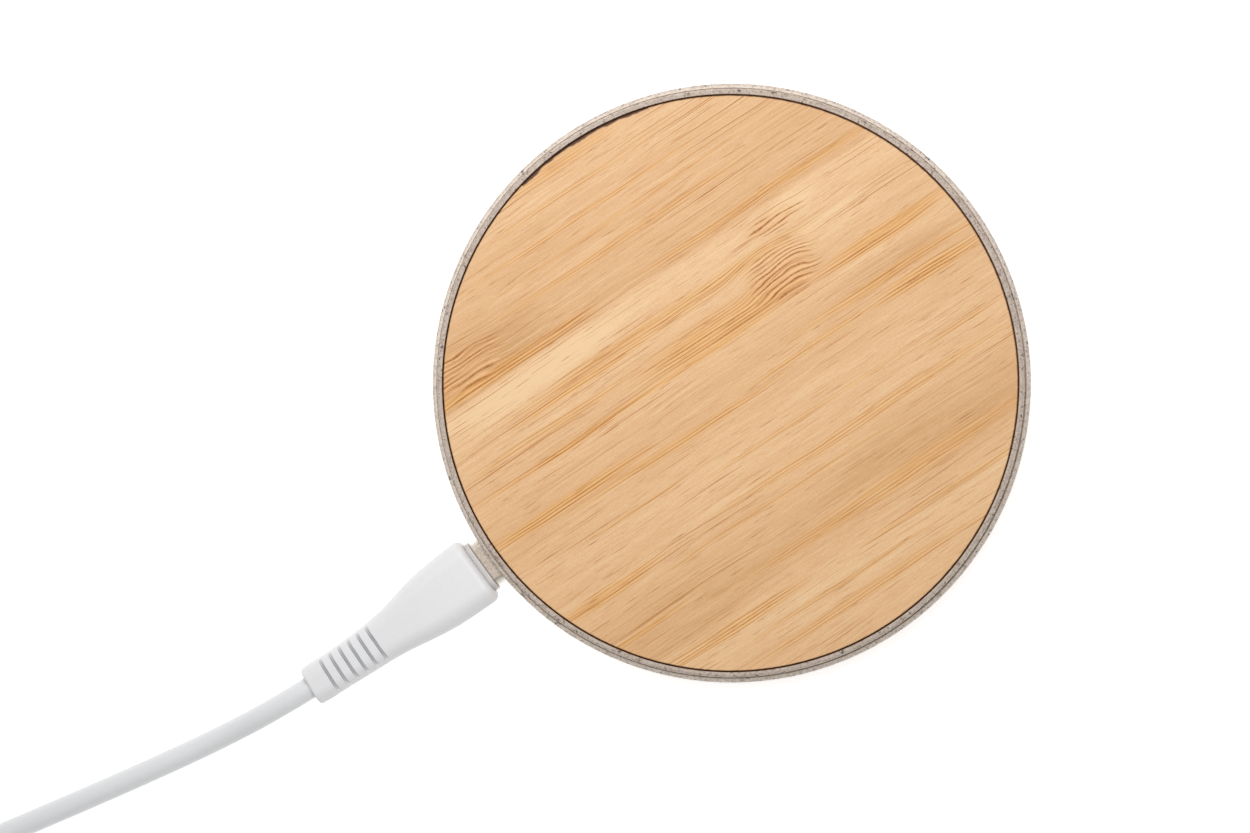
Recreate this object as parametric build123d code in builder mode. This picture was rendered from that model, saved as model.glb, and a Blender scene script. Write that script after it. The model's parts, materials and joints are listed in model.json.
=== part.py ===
"""Round bamboo-topped wireless charging pad with its detachable USB cable.

Millimetres.  The pad stands on Z = 0 with its axis on Z; the cable port faces -X.
"""
import math
import os

from build123d import *

os.makedirs("parts", exist_ok=True)

# ---------------------------------------------------------------- housing
PAD_RADIUS = 50.0
PAD_HEIGHT = 10.0
FOOT_GAP = 0.8                              # housing underside above the table
WIDEST_Z = PAD_HEIGHT - 3.0                 # level of the greatest radius
SEAM_RADIUS = 49.15
TOP_WALL_RADIUS = SEAM_RADIUS - 0.2
BASE_FLOOR_Z = 2.0
SEAT_Z = 7.6                                # the top shell rests on the base here
PLATE_Z = 7.2                               # underside of the top plate
RECESS_Z = 8.5                              # floor of the inlay recess
RECESS_RADIUS = 48.05
INLAY_GAP = 0.2                             # open groove round the inlay
INLAY_RADIUS = RECESS_RADIUS - INLAY_GAP
INLAY_EDGE = 0.15                           # rounding of the inlay's top edge
ADHESIVE = 0.15
ADHESIVE_MARGIN = 0.8
SPIGOT_RADIUS = 47.3
BASE_BORE = SPIGOT_RADIUS + 0.2
BASE_FLAT_RADIUS = 46.4                     # flat underside inside this radius
BASE_HEEL = (47.2, 1.3)                     # radius and level where the side wall starts
BASE_SIDE = (49.35, 4.0)                    # a point on the wall's curve
BASE_SHOULDER = (49.69, 7.77)               # a point on the rounding above the widest level
BASE_LIP = (SEAM_RADIUS + 0.1, 8.05)        # top of the base's rim
BASE_CAVITY_RADIUS = 45.9
BASE_CAVITY_Z = 4.2                         # the cavity wall is upright above this
RIM_ROUNDING = 0.55                         # outer top edge of the top shell
RIM_ROUNDING_MIDDLE = 0.16
RECESS_EDGE = 0.1

# ---------------------------------------------------------------- screws and feet
SCREW_CIRCLE = 38.0
SCREW_ANGLES = [45, 135, 225, 315]
SCREW_RADIUS = 1.0
SCREW_HEAD_RADIUS = 1.8
SCREW_HEAD = 0.9
SCREW_TIP_Z = 6.4
POST_RADIUS = 2.5
POST_FOOT_Z = 3.2                           # posts of the top shell meet the base bosses
FOOT_RADIUS = 5.0
FOOT_POCKET = 0.45
FOOT_EDGE = 0.3
HEAD_SEAT_Z = 2.25
BOSS_WALL = 0.8
HOLE_CLEARANCE = 0.15
POCKET_CLEARANCE = 0.1
CROSS_LENGTH = 2.0
CROSS_WIDTH = 0.4
CROSS_DEPTH = 0.5

# ---------------------------------------------------------------- coil stack
WIRE = 1.1
TURNS = 10
TURN_PITCH = 1.15
COIL_INNER = 10.5
COIL_Z = PLATE_Z - 0.1 - WIRE / 2
FERRITE_RADIUS = 25.0
FERRITE_HOLE = 11.0
FERRITE = 1.0
FERRITE_TOP_Z = COIL_Z - WIRE / 2
LEAD_SLOT_CENTRE = (-17.0, 6.7)             # way out of the ferrite for the inner lead
LEAD_SLOT_SIZE = (20.0, 4.2)

# ---------------------------------------------------------------- circuit board
BOARD = 1.0
BOARD_Z = 2.4
BOARD_TOP = BOARD_Z + BOARD
BOARD_EDGE_X = -26.5
BOARD_RADIUS = 45.7
BOARD_HALF_WIDTH = 17.0
BOARD_PINS = [(-40.8, 15.0), (-40.8, -15.0), (-34.4, 15.4), (-34.4, -15.4)]
PIN_RADIUS = 0.9
PIN_ABOVE_BOARD = 0.4
PIN_SEAT = 0.7                              # width of the shoulder that carries the board
TAB_X = -43.4                               # mounting tabs of the socket
TAB_LENGTH = 1.2
TAB_THICKNESS = 0.3
TAB_SLOT_SIZE = (1.4, 0.6)
CHIP_STANDOFF = 0.1
CHIP_EDGE = 0.12
CHIP_LEAD_LENGTH = 0.7
CHIP_LEAD_OVERHANG = 0.2                    # middle of a lead outside the chip's side
CHIP_LEAD_THICKNESS = 0.25
INDUCTOR_CENTRE = (-32.6, 12.6)
INDUCTOR_BASE = (3.0, 4.0, 0.5)
INDUCTOR_CORE_RADIUS = 1.4
INDUCTOR_CAP_RADIUS = 1.5
INDUCTOR_CAP = 0.4
INDUCTOR_HEIGHT = 2.2

# ---------------------------------------------------------------- USB-C port and plug
TIP_WIDTH = 8.34
TIP_HEIGHT = 2.56
TIP_WALL = 0.28
TIP_LENGTH = 6.7
FIT = 0.06                                  # running clearance of plug in socket
SOCKET_WIDTH = 8.94
SOCKET_HEIGHT = 3.26
SOCKET_MOUTH_X = -49.3
SOCKET_BACK_X = -42.0
PORT_Z = BOARD_TOP + SOCKET_HEIGHT / 2
COLLAR_X = -51.66                           # front of the plug collar, cable pushed in
OVERMOULD_X = COLLAR_X - 0.9
TIP_END_X = COLLAR_X + TIP_LENGTH
CAVITY_X = TIP_END_X + 0.1
TONGUE = 0.7
TONGUE_WIDTH = 6.6
TONGUE_SET_BACK = 0.8                       # front of the tongue behind the socket's mouth
CONTACT_SET_BACK = 1.1
CONTACT_PITCH = 0.5
CONTACT_COUNT = 12
CONTACT_WIDTH = 0.25
CONTACT = 0.05
COLLAR_WIDTH = 9.3
COLLAR_HEIGHT = 3.6
# width and height of the overmould, from its front face back in equal steps
OVERMOULD_STEP = 3.8
OVERMOULD_SECTIONS = [
    (12.0, 6.3), (12.0, 6.3), (11.65, 6.2), (10.75, 6.0), (9.35, 5.7),
    (8.1, 5.4), (7.5, 5.2), (7.2, 5.1), (7.0, 5.0), (6.9, 4.9),
]
OVERMOULD_CORNER = 0.46                     # corner radius as a share of the height
RELIEF_END = 0.8                            # short straight end behind the last section
OVERMOULD_FRONT_EDGE = 1.2
OVERMOULD_BACK_EDGE = 0.5
RELIEF_BEND_START = 15.5                    # behind this the strain relief bends with the cord
RELIEF_BEND_RADIUS = 250.0
RELIEF_GROOVES = 6
GROOVE_START = 21.3
GROOVE_PITCH = 1.94
GROOVE = 0.55
GROOVE_DEPTH = 0.95
GROOVE_TOP = 2.6                            # half height of the relief at the first groove
GROOVE_TOP_DROP = 0.018                     # and how much less at each further one
GROOVE_CUT = (9.0, 2.0)                     # width and height of the cut outside the groove's floor

# ---------------------------------------------------------------- cord
CORD = 3.8
CORD_RADIUS = CORD / 2
ENTRY = (-171.3, 17.45, 2.3)                # where the cord joins the outer turn
CORD_ROUTE = [
    (-87.54, 0.76, PORT_Z), (-94.5, 1.3, PORT_Z), (-105.5, 2.95, 1.9), (-118.0, 5.45, 1.9),
    (-134.0, 9.0, 1.9), (-150.0, 12.75, 1.9), (-163.0, 15.6, 2.0), ENTRY,
]
ENTRY_ANGLE = 77.4                          # direction of ENTRY seen from the coil centre
TIE = 0.4
TURN_RADIUS = 11 * CORD / 2                 # middle of the turns
OUTER_TURN = TURN_RADIUS + 1.5 * CORD
INNER_TURN = TURN_RADIUS - 1.5 * CORD
COIL_X = ENTRY[0] - OUTER_TURN * math.cos(math.radians(ENTRY_ANGLE))
COIL_Y = ENTRY[1] - OUTER_TURN * math.sin(math.radians(ENTRY_ANGLE))
LAYER_RISE = 3.35
COIL_TOP = TIE + CORD + 2 * LAYER_RISE
USB_A_Y = -46.0
USB_A_Z = 3.85
USB_A_RELIEF_X = -170.0
TAIL_ROUTE = [
    (-198.5, -0.7, TIE + CORD_RADIUS + 2 * LAYER_RISE), (-204.7, -17.6, 9.2), (-199.4, -34.8, 6.2),
    (-185.0, USB_A_Y, USB_A_Z), (USB_A_RELIEF_X, USB_A_Y, USB_A_Z),
]

# ---------------------------------------------------------------- USB-A plug, lying along +X
# distance ahead of the cord end, width, height of the overmould sections
USB_A_SECTIONS = [
    (0.0, 5.6, 5.2), (6.0, 6.3, 5.5), (12.0, 8.0, 6.1), (16.5, 12.6, 7.2),
    (20.0, 15.0, 7.55), (22.5, 15.6, 7.6),
]
USB_A_STRAIGHT = 11.5
USB_A_FRONT_X = USB_A_RELIEF_X + USB_A_SECTIONS[-1][0] + USB_A_STRAIGHT
USB_A_WIDTH = 12.0
USB_A_HEIGHT = 4.5
USB_A_WALL = 0.3
USB_A_LENGTH = 11.8
USB_A_EMBEDDED = 4.0
USB_A_CORNER = 0.4                          # corner radius as a share of the height
USB_A_FRONT_EDGE = 0.8
USB_A_GROOVES = 4
USB_A_GROOVE_START = 3.0
USB_A_GROOVE_PITCH = 2.0
USB_A_GROOVE_CUT = (0.6, 12.0, 2.0)
USB_A_GROOVE_Z = 2.9                        # middle of the cut above the plug's axis
LATCH_AHEAD = 5.2
LATCH_SPACING = 5.7
LATCH_SIZE = (2.2, 2.5)
USB_A_PAD_CENTRE = 6.0
USB_A_PAD_SIZE = (8.0, 1.0, 0.1)
USB_A_PAD_PITCH = 2.3
USB_A_TONGUE_SET_BACK = 0.4


def finish(piece, node):
    """Label a finished piece and write it as one STEP file."""
    piece.part.label = node
    export_step(piece.part, f"parts/{node}.step")


def across(x, y=0.0, z=PORT_Z):
    """A sketch plane across the cable axis, facing +X, with sketch X along Y."""
    return Plane(origin=(x, y, z), x_dir=(0, 1, 0), z_dir=(1, 0, 0))


def on_circle(radius, angles):
    """Centres at the given angles on a circle about the pad axis."""
    return [(radius * math.cos(math.radians(a)), radius * math.sin(math.radians(a))) for a in angles]


def corner_radii(route):
    """Arc radius for each inner corner: 0.45 of the shorter run over tan(half the turn)."""
    points = [Vector(*p) for p in route]
    radii = []
    for before, corner, after in zip(points, points[1:], points[2:]):
        run_in, run_out = corner - before, after - corner
        half_turn = math.radians(run_in.get_angle(run_out)) / 2
        radii.append(0.45 * min(run_in.length, run_out.length) / math.tan(half_turn))
    return radii


SCREW_CENTRES = on_circle(SCREW_CIRCLE, SCREW_ANGLES)
STANDING = (Align.CENTER, Align.CENTER, Align.MIN)

# ================================================================ housing
with BuildPart() as base_shell:
    with BuildSketch(Plane.XZ):
        with BuildLine():
            Polyline((0, FOOT_GAP), (BASE_FLAT_RADIUS, FOOT_GAP), BASE_HEEL)
            ThreePointArc(BASE_HEEL, BASE_SIDE, (PAD_RADIUS, WIDEST_Z))
            ThreePointArc((PAD_RADIUS, WIDEST_Z), BASE_SHOULDER, BASE_LIP)
            Polyline(
                BASE_LIP, (SEAM_RADIUS, SEAT_Z), (BASE_BORE, SEAT_Z), (BASE_BORE, BASE_CAVITY_Z),
                (BASE_CAVITY_RADIUS, BASE_FLOOR_Z), (0, BASE_FLOOR_Z), (0, FOOT_GAP),
            )
        make_face()
    revolve(axis=Axis.Z)
    # screw bosses, board seats and board pins stand on the floor
    with BuildSketch(Plane.XY.offset(BASE_FLOOR_Z)):
        with Locations(SCREW_CENTRES):
            Circle(POST_RADIUS + BOSS_WALL)
    extrude(amount=POST_FOOT_Z - BASE_FLOOR_Z)
    with BuildSketch(Plane.XY.offset(BASE_FLOOR_Z)):
        with Locations(BOARD_PINS):
            Circle(PIN_RADIUS + PIN_SEAT)
    extrude(amount=BOARD_Z - BASE_FLOOR_Z)
    with BuildSketch(Plane.XY.offset(BASE_FLOOR_Z)):
        with Locations(BOARD_PINS):
            Circle(PIN_RADIUS)
    extrude(amount=BOARD_TOP + PIN_ABOVE_BOARD - BASE_FLOOR_Z)
    # foot pockets, head recesses and screw holes from below
    with BuildSketch(Plane.XY.offset(FOOT_GAP)):
        with Locations(SCREW_CENTRES):
            Circle(FOOT_RADIUS + POCKET_CLEARANCE)
    extrude(amount=FOOT_POCKET, mode=Mode.SUBTRACT)
    with BuildSketch(Plane.XY.offset(FOOT_GAP)):
        with Locations(SCREW_CENTRES):
            Circle(SCREW_HEAD_RADIUS + HOLE_CLEARANCE)
    extrude(amount=HEAD_SEAT_Z - FOOT_GAP, mode=Mode.SUBTRACT)
    with BuildSketch(Plane.XY.offset(FOOT_GAP)):
        with Locations(SCREW_CENTRES):
            Circle(SCREW_RADIUS + HOLE_CLEARANCE)
    extrude(amount=POST_FOOT_Z - FOOT_GAP, mode=Mode.SUBTRACT)
    # cable port through the side wall
    with BuildSketch(across(-PAD_RADIUS - 1)):
        SlotOverall(SOCKET_WIDTH + 0.2, SOCKET_HEIGHT + 0.2)
    extrude(amount=8, mode=Mode.SUBTRACT)
finish(base_shell, "base_shell")

with BuildPart() as top_shell:
    with BuildSketch(Plane.XZ):
        with BuildLine():
            Polyline(
                (0, PLATE_Z), (SPIGOT_RADIUS, PLATE_Z), (SPIGOT_RADIUS, SEAT_Z), (TOP_WALL_RADIUS, SEAT_Z),
                (TOP_WALL_RADIUS, PAD_HEIGHT - RIM_ROUNDING),
            )
            ThreePointArc(
                (TOP_WALL_RADIUS, PAD_HEIGHT - RIM_ROUNDING),
                (TOP_WALL_RADIUS - RIM_ROUNDING_MIDDLE, PAD_HEIGHT - RIM_ROUNDING_MIDDLE),
                (TOP_WALL_RADIUS - RIM_ROUNDING, PAD_HEIGHT),
            )
            Polyline(
                (TOP_WALL_RADIUS - RIM_ROUNDING, PAD_HEIGHT), (RECESS_RADIUS + RECESS_EDGE, PAD_HEIGHT),
                (RECESS_RADIUS, PAD_HEIGHT - RECESS_EDGE), (RECESS_RADIUS, RECESS_Z),
                (0, RECESS_Z), (0, PLATE_Z),
            )
        make_face()
    revolve(axis=Axis.Z)
    with BuildSketch(Plane.XY.offset(PLATE_Z)):
        with Locations(SCREW_CENTRES):
            Circle(POST_RADIUS)
    extrude(amount=POST_FOOT_Z - PLATE_Z)
    with BuildSketch(Plane.XY.offset(POST_FOOT_Z)):
        with Locations(SCREW_CENTRES):
            Circle(SCREW_RADIUS)
    extrude(amount=SCREW_TIP_Z - POST_FOOT_Z, mode=Mode.SUBTRACT)
finish(top_shell, "top_shell")

with BuildPart() as inlay_adhesive:
    with BuildSketch(Plane.XY.offset(RECESS_Z)):
        Circle(INLAY_RADIUS - ADHESIVE_MARGIN)
    extrude(amount=ADHESIVE)
finish(inlay_adhesive, "inlay_adhesive")

with BuildPart() as bamboo_inlay:
    with BuildSketch(Plane.XY.offset(RECESS_Z + ADHESIVE)):
        Circle(INLAY_RADIUS)
    extrude(amount=PAD_HEIGHT - RECESS_Z - ADHESIVE)
    fillet(bamboo_inlay.edges().group_by(Axis.Z)[-1], radius=INLAY_EDGE)
finish(bamboo_inlay, "bamboo_inlay")

with BuildPart() as rubber_feet:
    with BuildSketch():
        with Locations(SCREW_CENTRES):
            Circle(FOOT_RADIUS)
    extrude(amount=FOOT_GAP + FOOT_POCKET)
    fillet(rubber_feet.edges().group_by(Axis.Z)[0], radius=FOOT_EDGE)
finish(rubber_feet, "rubber_feet")

with BuildPart() as housing_screws:
    with BuildSketch(Plane.XY.offset(HEAD_SEAT_Z - SCREW_HEAD)):
        with Locations(SCREW_CENTRES):
            Circle(SCREW_HEAD_RADIUS)
    extrude(amount=SCREW_HEAD)
    with BuildSketch(Plane.XY.offset(HEAD_SEAT_Z)):
        with Locations(SCREW_CENTRES):
            Circle(SCREW_RADIUS)
    extrude(amount=SCREW_TIP_Z - HEAD_SEAT_Z)
    # cross recess in each head
    with BuildSketch(Plane.XY.offset(HEAD_SEAT_Z - SCREW_HEAD)):
        with Locations(SCREW_CENTRES):
            Rectangle(CROSS_LENGTH, CROSS_WIDTH)
            Rectangle(CROSS_WIDTH, CROSS_LENGTH)
    extrude(amount=CROSS_DEPTH, mode=Mode.SUBTRACT)
finish(housing_screws, "housing_screws")

# ================================================================ charging coil
with BuildPart() as transmitter_coil:
    with BuildLine(Plane.XY.offset(COIL_Z)) as spiral:
        # half circles about two centres half a pitch apart join into a spiral
        for half in range(2 * TURNS):
            side = -1 if half % 2 == 0 else 1
            start_x = side * (COIL_INNER + half * TURN_PITCH / 2)
            end_x = -side * (COIL_INNER + (half + 1) * TURN_PITCH / 2)
            middle_x = (start_x + end_x) / 2
            ThreePointArc((start_x, 0), (middle_x, side * abs(start_x - middle_x)), (end_x, 0))
    with BuildSketch(Plane(origin=(-COIL_INNER, 0, COIL_Z), z_dir=(0, -1, 0))):
        Circle(WIRE / 2)
    sweep(path=spiral.wires()[0])
finish(transmitter_coil, "transmitter_coil")

LEAD_BEND = 0.8
OUTER_END = COIL_INNER + TURNS * TURN_PITCH
SOLDER_X = -31.6                            # where the leads end on the board
SOLDER_Z = BOARD_TOP + WIRE / 2
OUTER_LEAD_Y = -5.2
INNER_LEAD_Y = 7.6
INNER_LEAD_Z = 5.3                          # in the slot of the ferrite
OUTER_LEAD = [
    (-OUTER_END, 0.0, COIL_Z), (-OUTER_END, -3.4, COIL_Z), (-26.4, OUTER_LEAD_Y, COIL_Z),
    (-29.6, OUTER_LEAD_Y, SOLDER_Z), (SOLDER_X, OUTER_LEAD_Y, SOLDER_Z),
]
INNER_LEAD = [
    (-COIL_INNER, 0.0, COIL_Z), (-COIL_INNER, 1.2, COIL_Z), (-8.9, 4.2, 5.7),
    (-8.9, INNER_LEAD_Y, INNER_LEAD_Z), (-25.6, INNER_LEAD_Y, INNER_LEAD_Z),
    (-29.0, INNER_LEAD_Y, SOLDER_Z), (SOLDER_X, INNER_LEAD_Y, SOLDER_Z),
]
with BuildPart() as coil_leads:
    for lead in (OUTER_LEAD, INNER_LEAD):
        with BuildLine() as lead_line:
            FilletPolyline(*lead, radius=LEAD_BEND)
        with BuildSketch(Plane(origin=lead[0], z_dir=lead_line.line % 0)):
            Circle(WIRE / 2)
        sweep(path=lead_line.line)
finish(coil_leads, "coil_leads")

with BuildPart() as coil_adhesive:
    with BuildSketch(Plane.XY.offset(COIL_Z + WIRE / 2)):
        Circle(OUTER_END + WIRE / 2)
        Circle(COIL_INNER - WIRE / 2, mode=Mode.SUBTRACT)
    extrude(amount=PLATE_Z - COIL_Z - WIRE / 2)
finish(coil_adhesive, "coil_adhesive")

with BuildPart() as ferrite_shield:
    with BuildSketch(Plane.XY.offset(FERRITE_TOP_Z)):
        Circle(FERRITE_RADIUS)
        Circle(FERRITE_HOLE, mode=Mode.SUBTRACT)
        with Locations(LEAD_SLOT_CENTRE):
            Rectangle(*LEAD_SLOT_SIZE, mode=Mode.SUBTRACT)
    extrude(amount=-FERRITE)
finish(ferrite_shield, "ferrite_shield")

BEAD_X = -4.0
BEAD_RADIUS = 1.0
LEG_RADIUS = 0.2
LEG_SPACING = 1.2
with BuildPart() as thermistor:
    with Locations((BEAD_X, 0, PLATE_Z - BEAD_RADIUS)):
        Sphere(BEAD_RADIUS)
    for side in (-1, 1):
        y = side * LEG_SPACING / 2
        leg_route = [
            (BEAD_X, y, PLATE_Z - 1.4), (BEAD_X, y, 4.5), (-27.2, y, 4.4), (-30.2, y, BOARD_TOP + LEG_RADIUS),
        ]
        with BuildLine() as leg:
            FilletPolyline(*leg_route, radius=LEAD_BEND)
        with BuildSketch(Plane(origin=leg.line @ 0, z_dir=leg.line % 0)):
            Circle(LEG_RADIUS)
        sweep(path=leg.line)
finish(thermistor, "thermistor")

# ================================================================ circuit board
with BuildPart() as circuit_board:
    with BuildSketch(Plane.XY.offset(BOARD_Z)):
        Circle(BOARD_RADIUS)
        with Locations((BOARD_EDGE_X - BOARD_RADIUS / 2, 0)):
            Rectangle(BOARD_RADIUS, 2 * BOARD_HALF_WIDTH, mode=Mode.INTERSECT)
        with Locations(BOARD_PINS):
            Circle(PIN_RADIUS + POCKET_CLEARANCE, mode=Mode.SUBTRACT)
        # slots for the mounting tabs of the socket
        with Locations((TAB_X, SOCKET_WIDTH / 2), (TAB_X, -SOCKET_WIDTH / 2)):
            Rectangle(*TAB_SLOT_SIZE, mode=Mode.SUBTRACT)
    extrude(amount=BOARD)
finish(circuit_board, "circuit_board")


def block_group(node, centres, length, width, height, edge=0.0):
    """A node of equal rectangular components standing on the board."""
    with BuildPart() as group:
        with Locations([(x, y, BOARD_TOP) for x, y in centres]):
            Box(length, width, height, align=STANDING)
        if edge:
            chamfer(group.edges().group_by(Axis.Z)[-1], length=edge)
    finish(group, node)


def chip(node, centre, size, height, leads, lead_pitch):
    """A moulded chip with gull-wing or edge leads along two sides."""
    x, y = centre
    with BuildPart() as body:
        with Locations((x, y, BOARD_TOP + CHIP_STANDOFF)):
            Box(size, size, height - CHIP_STANDOFF, align=STANDING)
        chamfer(body.edges().group_by(Axis.Z)[-1], length=CHIP_EDGE)
        for side in (-1, 1):
            with Locations((x, y + side * (size / 2 + CHIP_LEAD_OVERHANG), BOARD_TOP)):
                with GridLocations(lead_pitch, 1, leads, 1):
                    Box(lead_pitch / 2, CHIP_LEAD_LENGTH, CHIP_LEAD_THICKNESS, align=STANDING)
    finish(body, node)


def pairs(x, offsets):
    """Centres at one X, at each offset either side of the board's middle line."""
    return [(x, side * y) for y in offsets for side in (-1, 1)]


chip("controller_chip", (-37.2, 0.0), 5.0, 0.95, 8, 0.5)
chip("driver_chip", (-37.6, 9.2), 4.0, 1.5, 4, 1.0)
MOSFET_CENTRES = [(x, y) for x in (-39.6, -35.4) for y in (-7.2, -11.4)]
block_group("power_mosfets", MOSFET_CENTRES, 3.3, 3.3, 0.95, 0.1)
block_group("resonant_capacitors", pairs(-29.2, (11.4, 14.6)), 3.2, 2.5, 2.5, 0.2)
FILTER_CENTRES = pairs(-33.2, (1.9, 3.2)) + [(-41.4, 5.8), (-41.4, 12.2)]
block_group("filter_capacitors", FILTER_CENTRES, 1.6, 0.8, 0.8)
RESISTOR_CENTRES = pairs(-30.4, (1.6, 2.8)) + [(-37.6, -14.2), (-37.6, 13.6)]
block_group("resistors", RESISTOR_CENTRES, 1.0, 0.5, 0.35)

with BuildPart() as inductor:
    with Locations((*INDUCTOR_CENTRE, BOARD_TOP)):
        Box(*INDUCTOR_BASE, align=STANDING)
        Cylinder(INDUCTOR_CORE_RADIUS, INDUCTOR_HEIGHT, align=STANDING)
    with Locations((*INDUCTOR_CENTRE, BOARD_TOP + INDUCTOR_HEIGHT - INDUCTOR_CAP)):
        Cylinder(INDUCTOR_CAP_RADIUS, INDUCTOR_CAP, align=STANDING)
finish(inductor, "inductor")

# ================================================================ USB-C socket
with BuildPart() as usb_socket_shell:
    with BuildSketch(across(SOCKET_MOUTH_X)):
        SlotOverall(SOCKET_WIDTH, SOCKET_HEIGHT)
        SlotOverall(TIP_WIDTH + 2 * FIT, TIP_HEIGHT + 2 * FIT, mode=Mode.SUBTRACT)
    extrude(amount=SOCKET_BACK_X - SOCKET_MOUTH_X)
    for side in (-1, 1):
        with Locations((TAB_X, side * (SOCKET_WIDTH / 2 - 0.02), BOARD_Z)):
            Box(TAB_LENGTH, TAB_THICKNESS, PORT_Z - BOARD_Z, align=STANDING)
finish(usb_socket_shell, "usb_socket_shell")

with BuildPart() as usb_socket_tongue:
    with BuildSketch(across(CAVITY_X)):
        SlotOverall(TIP_WIDTH + 2 * FIT, TIP_HEIGHT + 2 * FIT)
    extrude(amount=SOCKET_BACK_X - CAVITY_X)
    with BuildSketch(across(SOCKET_MOUTH_X + TONGUE_SET_BACK)):
        Rectangle(TONGUE_WIDTH, TONGUE)
    extrude(amount=CAVITY_X - SOCKET_MOUTH_X - TONGUE_SET_BACK)
finish(usb_socket_tongue, "usb_socket_tongue")

CONTACT_START_X = SOCKET_MOUTH_X + CONTACT_SET_BACK
SOLDER_TAIL = 0.9
SOLDER_TAIL_THICKNESS = 0.2
with BuildPart() as usb_socket_contacts:
    for side in (-1, 1):
        with Locations(((CONTACT_START_X + CAVITY_X) / 2, 0, PORT_Z + side * (TONGUE + CONTACT) / 2)):
            with GridLocations(1, CONTACT_PITCH, 1, CONTACT_COUNT):
                Box(CAVITY_X - CONTACT_START_X, CONTACT_WIDTH, CONTACT)
    with Locations((SOCKET_BACK_X + SOLDER_TAIL / 2, 0, BOARD_TOP)):
        with GridLocations(1, CONTACT_PITCH, 1, CONTACT_COUNT):
            Box(SOLDER_TAIL, CONTACT_WIDTH, SOLDER_TAIL_THICKNESS, align=STANDING)
finish(usb_socket_contacts, "usb_socket_contacts")

# ================================================================ USB-C plug
SHELL_BACK_X = OVERMOULD_X - 4.0
INSULATOR_SET_BACK = 0.3                    # insulator behind the shell's front edge
SPRING_LENGTH = 3.9                         # contacts of the plug
SPRING_THICKNESS = 0.08
SLOT_DEPTH = 4.5
SLOT_WIDTH = 6.9
SLOT_HEIGHT = 1.16
with BuildPart() as plug_shell:
    with BuildSketch(across(SHELL_BACK_X)):
        SlotOverall(TIP_WIDTH, TIP_HEIGHT)
        SlotOverall(TIP_WIDTH - 2 * TIP_WALL, TIP_HEIGHT - 2 * TIP_WALL, mode=Mode.SUBTRACT)
    extrude(amount=TIP_END_X - SHELL_BACK_X)
    fillet(plug_shell.edges().group_by(Axis.X)[-1], radius=0.1)
finish(plug_shell, "plug_shell")

with BuildPart() as plug_insulator:
    with BuildSketch(across(SHELL_BACK_X)):
        SlotOverall(TIP_WIDTH - 2 * TIP_WALL, TIP_HEIGHT - 2 * TIP_WALL)
    extrude(amount=TIP_END_X - INSULATOR_SET_BACK - SHELL_BACK_X)
    with BuildSketch(across(TIP_END_X - SLOT_DEPTH)):
        Rectangle(SLOT_WIDTH, SLOT_HEIGHT)
    extrude(amount=SLOT_DEPTH, mode=Mode.SUBTRACT)
finish(plug_insulator, "plug_insulator")

with BuildPart() as plug_contacts:
    for side in (-1, 1):
        with Locations((TIP_END_X - 2.5, 0, PORT_Z + side * (SLOT_HEIGHT - SPRING_THICKNESS) / 2)):
            with GridLocations(1, CONTACT_PITCH, 1, CONTACT_COUNT):
                Box(SPRING_LENGTH, CONTACT_WIDTH, SPRING_THICKNESS)
finish(plug_contacts, "plug_contacts")

with BuildPart() as plug_collar:
    with BuildSketch(across(OVERMOULD_X)):
        SlotOverall(COLLAR_WIDTH, COLLAR_HEIGHT)
        SlotOverall(TIP_WIDTH, TIP_HEIGHT, mode=Mode.SUBTRACT)
    extrude(amount=COLLAR_X - OVERMOULD_X)
finish(plug_collar, "plug_collar")


def relief_plane(back):
    """Section plane of the overmould, this far behind its front face along its bent middle line."""
    bent = max(0.0, back - RELIEF_BEND_START)
    angle = bent / RELIEF_BEND_RADIUS
    x = OVERMOULD_X - back + bent - RELIEF_BEND_RADIUS * math.sin(angle)
    y = RELIEF_BEND_RADIUS * (1 - math.cos(angle))
    turned = (math.sin(angle), math.cos(angle), 0)
    return Plane(origin=(x, y, PORT_Z), x_dir=turned, z_dir=(math.cos(angle), -math.sin(angle), 0))


with BuildPart() as plug_overmould:
    for step, (width, height) in enumerate(OVERMOULD_SECTIONS):
        with BuildSketch(relief_plane(step * OVERMOULD_STEP)):
            RectangleRounded(width, height, OVERMOULD_CORNER * height)
    loft()
    with BuildSketch(relief_plane(step * OVERMOULD_STEP)):
        RectangleRounded(width, height, OVERMOULD_CORNER * height)
    extrude(amount=-RELIEF_END)
    fillet(plug_overmould.faces().sort_by(Axis.X)[-1].edges(), radius=OVERMOULD_FRONT_EDGE)
    fillet(plug_overmould.faces().sort_by(Axis.X)[0].edges(), radius=OVERMOULD_BACK_EDGE)
    # bending grooves across the top and the bottom of the strain relief
    for groove in range(RELIEF_GROOVES):
        floor = GROOVE_TOP - groove * GROOVE_TOP_DROP - GROOVE_DEPTH
        middle = floor + GROOVE_CUT[1] / 2
        with BuildSketch(relief_plane(GROOVE_START + groove * GROOVE_PITCH)):
            with Locations((0, middle), (0, -middle)):
                Rectangle(*GROOVE_CUT)
        extrude(amount=GROOVE / 2, both=True, mode=Mode.SUBTRACT)
    # the metal shell is moulded in
    with BuildSketch(across(SHELL_BACK_X)):
        SlotOverall(TIP_WIDTH, TIP_HEIGHT)
    extrude(amount=OVERMOULD_X + 1 - SHELL_BACK_X, mode=Mode.SUBTRACT)
finish(plug_overmould, "plug_overmould")

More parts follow.
